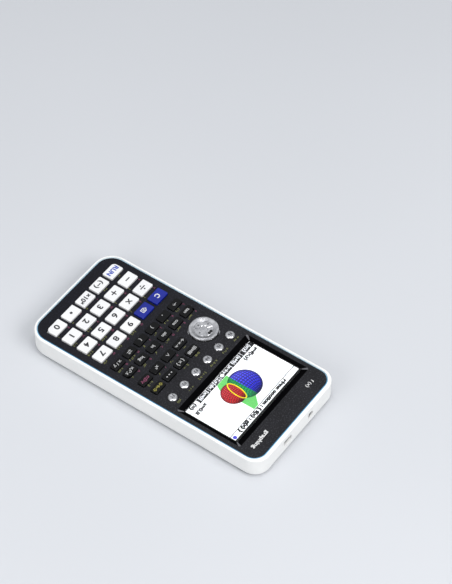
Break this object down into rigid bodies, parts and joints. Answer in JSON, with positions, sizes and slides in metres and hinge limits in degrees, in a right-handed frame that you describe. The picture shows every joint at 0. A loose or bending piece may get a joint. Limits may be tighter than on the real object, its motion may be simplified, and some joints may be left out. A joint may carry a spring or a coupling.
{
  "type": "graphing calculator",
  "caption": "Hand-held graphing calculator: dark face in a white rim, colour screen in a sloping recess, sprung keys, rocking silver disc and a hinged battery cover.",
  "frame": {"origin": "middle of the footprint, on the surface the rubber feet stand on, the calculator lying on its back", "axes": "+X to the calculator's right with the screen end up, +Y towards the screen end, +Z out of the face"},
  "size_m": [0.089, 0.1886, 0.0186],
  "materials": {
    "white_shell": "satin moulded plastic",
    "dark_face": "fine grained",
    "clear_window": "clear, polished",
    "display": "colour picture, lit",
    "circuit_board": "solder mask",
    "silicone": "matt silicone",
    "battery_sleeve": "printed sleeve",
    "spring_steel": "plated",
    "socket_metal": "plated",
    "screw_steel": "blackened",
    "rubber": "matt",
    "silver_plastic": "metallised satin",
    "pivot_plastic": "moulded",
    "white_key": "satin",
    "black_key": "gloss",
    "blue_key": "satin"
  },
  "bodies": {
    "case": {"front_case": "dark_face", "rear_case": "white_shell", "display_window": "clear_window", "display_module": "display", "main_board": "circuit_board", "key_mat": "silicone", "batteries": "battery_sleeve", "battery_contacts": "spring_steel", "port_sockets": "socket_metal", "case_screws": "screw_steel", "rubber_feet": "rubber"},
    "battery_cover": {"battery_cover": "white_shell"},
    "nav_pivot": {"nav_pivot": "pivot_plastic"},
    "nav_disc": {"nav_disc": "silver_plastic"},
    "key_0": {"key_0": "white_key"},
    "key_point": {"key_point": "white_key"},
    "key_power_ten": {"key_power_ten": "white_key"},
    "key_negative": {"key_negative": "white_key"},
    "key_execute": {"key_execute": "white_key"},
    "key_1": {"key_1": "white_key"},
    "key_2": {"key_2": "white_key"},
    "key_3": {"key_3": "white_key"},
    "key_add": {"key_add": "white_key"},
    "key_subtract": {"key_subtract": "white_key"},
    "key_4": {"key_4": "white_key"},
    "key_5": {"key_5": "white_key"},
    "key_6": {"key_6": "white_key"},
    "key_multiply": {"key_multiply": "white_key"},
    "key_divide": {"key_divide": "white_key"},
    "key_7": {"key_7": "white_key"},
    "key_8": {"key_8": "white_key"},
    "key_9": {"key_9": "white_key"},
    "key_delete": {"key_delete": "blue_key"},
    "key_all_clear": {"key_all_clear": "blue_key"},
    "key_shift": {"key_shift": "black_key"},
    "key_options": {"key_options": "black_key"},
    "key_variables": {"key_variables": "black_key"},
    "key_menu": {"key_menu": "black_key"},
    "key_alpha": {"key_alpha": "black_key"},
    "key_square": {"key_square": "black_key"},
    "key_power": {"key_power": "black_key"},
    "key_exit": {"key_exit": "black_key"},
    "key_variable_x": {"key_variable_x": "black_key"},
    "key_log": {"key_log": "black_key"},
    "key_ln": {"key_ln": "black_key"},
    "key_sin": {"key_sin": "black_key"},
    "key_cos": {"key_cos": "black_key"},
    "key_tan": {"key_tan": "black_key"},
    "key_fraction": {"key_fraction": "black_key"},
    "key_form_swap": {"key_form_swap": "black_key"},
    "key_bracket_open": {"key_bracket_open": "black_key"},
    "key_bracket_close": {"key_bracket_close": "black_key"},
    "key_comma": {"key_comma": "black_key"},
    "key_store": {"key_store": "black_key"},
    "key_f1": {"key_f1": "silver_plastic"},
    "key_f2": {"key_f2": "silver_plastic"},
    "key_f3": {"key_f3": "silver_plastic"},
    "key_f4": {"key_f4": "silver_plastic"},
    "key_f5": {"key_f5": "silver_plastic"},
    "key_f6": {"key_f6": "silver_plastic"}
  },
  "joints": [
    {"name": "battery_cover_hinge", "type": "hinge", "parent": "case", "child": "battery_cover", "pos_m": [0, -0.01015, 0.0005], "axis": [1, 0, 0], "range_deg": [0, 40]},
    {"name": "nav_up_down", "type": "hinge", "parent": "case", "child": "nav_pivot", "pos_m": [-0.0255, 0.00035, 0.01495], "axis": [1, 0, 0], "range_deg": [-2.2, 2.2], "stiffness_Nm_per_rad": 0.3},
    {"name": "nav_left_right", "type": "hinge", "parent": "nav_pivot", "child": "nav_disc", "pos_m": [-0.0255, 0.00035, 0.01495], "axis": [0, 1, 0], "range_deg": [-2.2, 2.2], "stiffness_Nm_per_rad": 0.3},
    {"name": "press_0", "type": "slide", "parent": "case", "child": "key_0", "axis": [0, 0, -1], "range_m": [0, 0.0008], "stiffness_N_per_m": 1200, "springref_m": -0.0001},
    {"name": "press_point", "type": "slide", "parent": "case", "child": "key_point", "axis": [0, 0, -1], "range_m": [0, 0.0008], "stiffness_N_per_m": 1200, "springref_m": -0.0001},
    {"name": "press_power_ten", "type": "slide", "parent": "case", "child": "key_power_ten", "axis": [0, 0, -1], "range_m": [0, 0.0008], "stiffness_N_per_m": 1200, "springref_m": -0.0001},
    {"name": "press_negative", "type": "slide", "parent": "case", "child": "key_negative", "axis": [0, 0, -1], "range_m": [0, 0.0008], "stiffness_N_per_m": 1200, "springref_m": -0.0001},
    {"name": "press_execute", "type": "slide", "parent": "case", "child": "key_execute", "axis": [0, 0, -1], "range_m": [0, 0.0008], "stiffness_N_per_m": 1200, "springref_m": -0.0001},
    {"name": "press_1", "type": "slide", "parent": "case", "child": "key_1", "axis": [0, 0, -1], "range_m": [0, 0.0008], "stiffness_N_per_m": 1200, "springref_m": -0.0001},
    {"name": "press_2", "type": "slide", "parent": "case", "child": "key_2", "axis": [0, 0, -1], "range_m": [0, 0.0008], "stiffness_N_per_m": 1200, "springref_m": -0.0001},
    {"name": "press_3", "type": "slide", "parent": "case", "child": "key_3", "axis": [0, 0, -1], "range_m": [0, 0.0008], "stiffness_N_per_m": 1200, "springref_m": -0.0001},
    {"name": "press_add", "type": "slide", "parent": "case", "child": "key_add", "axis": [0, 0, -1], "range_m": [0, 0.0008], "stiffness_N_per_m": 1200, "springref_m": -0.0001},
    {"name": "press_subtract", "type": "slide", "parent": "case", "child": "key_subtract", "axis": [0, 0, -1], "range_m": [0, 0.0008], "stiffness_N_per_m": 1200, "springref_m": -0.0001},
    {"name": "press_4", "type": "slide", "parent": "case", "child": "key_4", "axis": [0, 0, -1], "range_m": [0, 0.0008], "stiffness_N_per_m": 1200, "springref_m": -0.0001},
    {"name": "press_5", "type": "slide", "parent": "case", "child": "key_5", "axis": [0, 0, -1], "range_m": [0, 0.0008], "stiffness_N_per_m": 1200, "springref_m": -0.0001},
    {"name": "press_6", "type": "slide", "parent": "case", "child": "key_6", "axis": [0, 0, -1], "range_m": [0, 0.0008], "stiffness_N_per_m": 1200, "springref_m": -0.0001},
    {"name": "press_multiply", "type": "slide", "parent": "case", "child": "key_multiply", "axis": [0, 0, -1], "range_m": [0, 0.0008], "stiffness_N_per_m": 1200, "springref_m": -0.0001},
    {"name": "press_divide", "type": "slide", "parent": "case", "child": "key_divide", "axis": [0, 0, -1], "range_m": [0, 0.0008], "stiffness_N_per_m": 1200, "springref_m": -0.0001},
    {"name": "press_7", "type": "slide", "parent": "case", "child": "key_7", "axis": [0, 0, -1], "range_m": [0, 0.0008], "stiffness_N_per_m": 1200, "springref_m": -0.0001},
    {"name": "press_8", "type": "slide", "parent": "case", "child": "key_8", "axis": [0, 0, -1], "range_m": [0, 0.0008], "stiffness_N_per_m": 1200, "springref_m": -0.0001},
    {"name": "press_9", "type": "slide", "parent": "case", "child": "key_9", "axis": [0, 0, -1], "range_m": [0, 0.0008], "stiffness_N_per_m": 1200, "springref_m": -0.0001},
    {"name": "press_delete", "type": "slide", "parent": "case", "child": "key_delete", "axis": [0, 0, -1], "range_m": [0, 0.0008], "stiffness_N_per_m": 1200, "springref_m": -0.0001},
    {"name": "press_all_clear", "type": "slide", "parent": "case", "child": "key_all_clear", "axis": [0, 0, -1], "range_m": [0, 0.0008], "stiffness_N_per_m": 1200, "springref_m": -0.0001},
    {"name": "press_shift", "type": "slide", "parent": "case", "child": "key_shift", "axis": [0, 0, -1], "range_m": [0, 0.0008], "stiffness_N_per_m": 1200, "springref_m": -0.0001},
    {"name": "press_options", "type": "slide", "parent": "case", "child": "key_options", "axis": [0, 0, -1], "range_m": [0, 0.0008], "stiffness_N_per_m": 1200, "springref_m": -0.0001},
    {"name": "press_variables", "type": "slide", "parent": "case", "child": "key_variables", "axis": [0, 0, -1], "range_m": [0, 0.0008], "stiffness_N_per_m": 1200, "springref_m": -0.0001},
    {"name": "press_menu", "type": "slide", "parent": "case", "child": "key_menu", "axis": [0, 0, -1], "range_m": [0, 0.0008], "stiffness_N_per_m": 1200, "springref_m": -0.0001},
    {"name": "press_alpha", "type": "slide", "parent": "case", "child": "key_alpha", "axis": [0, 0, -1], "range_m": [0, 0.0008], "stiffness_N_per_m": 1200, "springref_m": -0.0001},
    {"name": "press_square", "type": "slide", "parent": "case", "child": "key_square", "axis": [0, 0, -1], "range_m": [0, 0.0008], "stiffness_N_per_m": 1200, "springref_m": -0.0001},
    {"name": "press_power", "type": "slide", "parent": "case", "child": "key_power", "axis": [0, 0, -1], "range_m": [0, 0.0008], "stiffness_N_per_m": 1200, "springref_m": -0.0001},
    {"name": "press_exit", "type": "slide", "parent": "case", "child": "key_exit", "axis": [0, 0, -1], "range_m": [0, 0.0008], "stiffness_N_per_m": 1200, "springref_m": -0.0001},
    {"name": "press_variable_x", "type": "slide", "parent": "case", "child": "key_variable_x", "axis": [0, 0, -1], "range_m": [0, 0.0008], "stiffness_N_per_m": 1200, "springref_m": -0.0001},
    {"name": "press_log", "type": "slide", "parent": "case", "child": "key_log", "axis": [0, 0, -1], "range_m": [0, 0.0008], "stiffness_N_per_m": 1200, "springref_m": -0.0001},
    {"name": "press_ln", "type": "slide", "parent": "case", "child": "key_ln", "axis": [0, 0, -1], "range_m": [0, 0.0008], "stiffness_N_per_m": 1200, "springref_m": -0.0001},
    {"name": "press_sin", "type": "slide", "parent": "case", "child": "key_sin", "axis": [0, 0, -1], "range_m": [0, 0.0008], "stiffness_N_per_m": 1200, "springref_m": -0.0001},
    {"name": "press_cos", "type": "slide", "parent": "case", "child": "key_cos", "axis": [0, 0, -1], "range_m": [0, 0.0008], "stiffness_N_per_m": 1200, "springref_m": -0.0001},
    {"name": "press_tan", "type": "slide", "parent": "case", "child": "key_tan", "axis": [0, 0, -1], "range_m": [0, 0.0008], "stiffness_N_per_m": 1200, "springref_m": -0.0001},
    {"name": "press_fraction", "type": "slide", "parent": "case", "child": "key_fraction", "axis": [0, 0, -1], "range_m": [0, 0.0008], "stiffness_N_per_m": 1200, "springref_m": -0.0001},
    {"name": "press_form_swap", "type": "slide", "parent": "case", "child": "key_form_swap", "axis": [0, 0, -1], "range_m": [0, 0.0008], "stiffness_N_per_m": 1200, "springref_m": -0.0001},
    {"name": "press_bracket_open", "type": "slide", "parent": "case", "child": "key_bracket_open", "axis": [0, 0, -1], "range_m": [0, 0.0008], "stiffness_N_per_m": 1200, "springref_m": -0.0001},
    {"name": "press_bracket_close", "type": "slide", "parent": "case", "child": "key_bracket_close", "axis": [0, 0, -1], "range_m": [0, 0.0008], "stiffness_N_per_m": 1200, "springref_m": -0.0001},
    {"name": "press_comma", "type": "slide", "parent": "case", "child": "key_comma", "axis": [0, 0, -1], "range_m": [0, 0.0008], "stiffness_N_per_m": 1200, "springref_m": -0.0001},
    {"name": "press_store", "type": "slide", "parent": "case", "child": "key_store", "axis": [0, 0, -1], "range_m": [0, 0.0008], "stiffness_N_per_m": 1200, "springref_m": -0.0001},
    {"name": "press_f1", "type": "slide", "parent": "case", "child": "key_f1", "axis": [0, 0, -1], "range_m": [0, 0.0008], "stiffness_N_per_m": 1200, "springref_m": -0.0001},
    {"name": "press_f2", "type": "slide", "parent": "case", "child": "key_f2", "axis": [0, 0, -1], "range_m": [0, 0.0008], "stiffness_N_per_m": 1200, "springref_m": -0.0001},
    {"name": "press_f3", "type": "slide", "parent": "case", "child": "key_f3", "axis": [0, 0, -1], "range_m": [0, 0.0008], "stiffness_N_per_m": 1200, "springref_m": -0.0001},
    {"name": "press_f4", "type": "slide", "parent": "case", "child": "key_f4", "axis": [0, 0, -1], "range_m": [0, 0.0008], "stiffness_N_per_m": 1200, "springref_m": -0.0001},
    {"name": "press_f5", "type": "slide", "parent": "case", "child": "key_f5", "axis": [0, 0, -1], "range_m": [0, 0.0008], "stiffness_N_per_m": 1200, "springref_m": -0.0001},
    {"name": "press_f6", "type": "slide", "parent": "case", "child": "key_f6", "axis": [0, 0, -1], "range_m": [0, 0.0008], "stiffness_N_per_m": 1200, "springref_m": -0.0001}
  ]
}
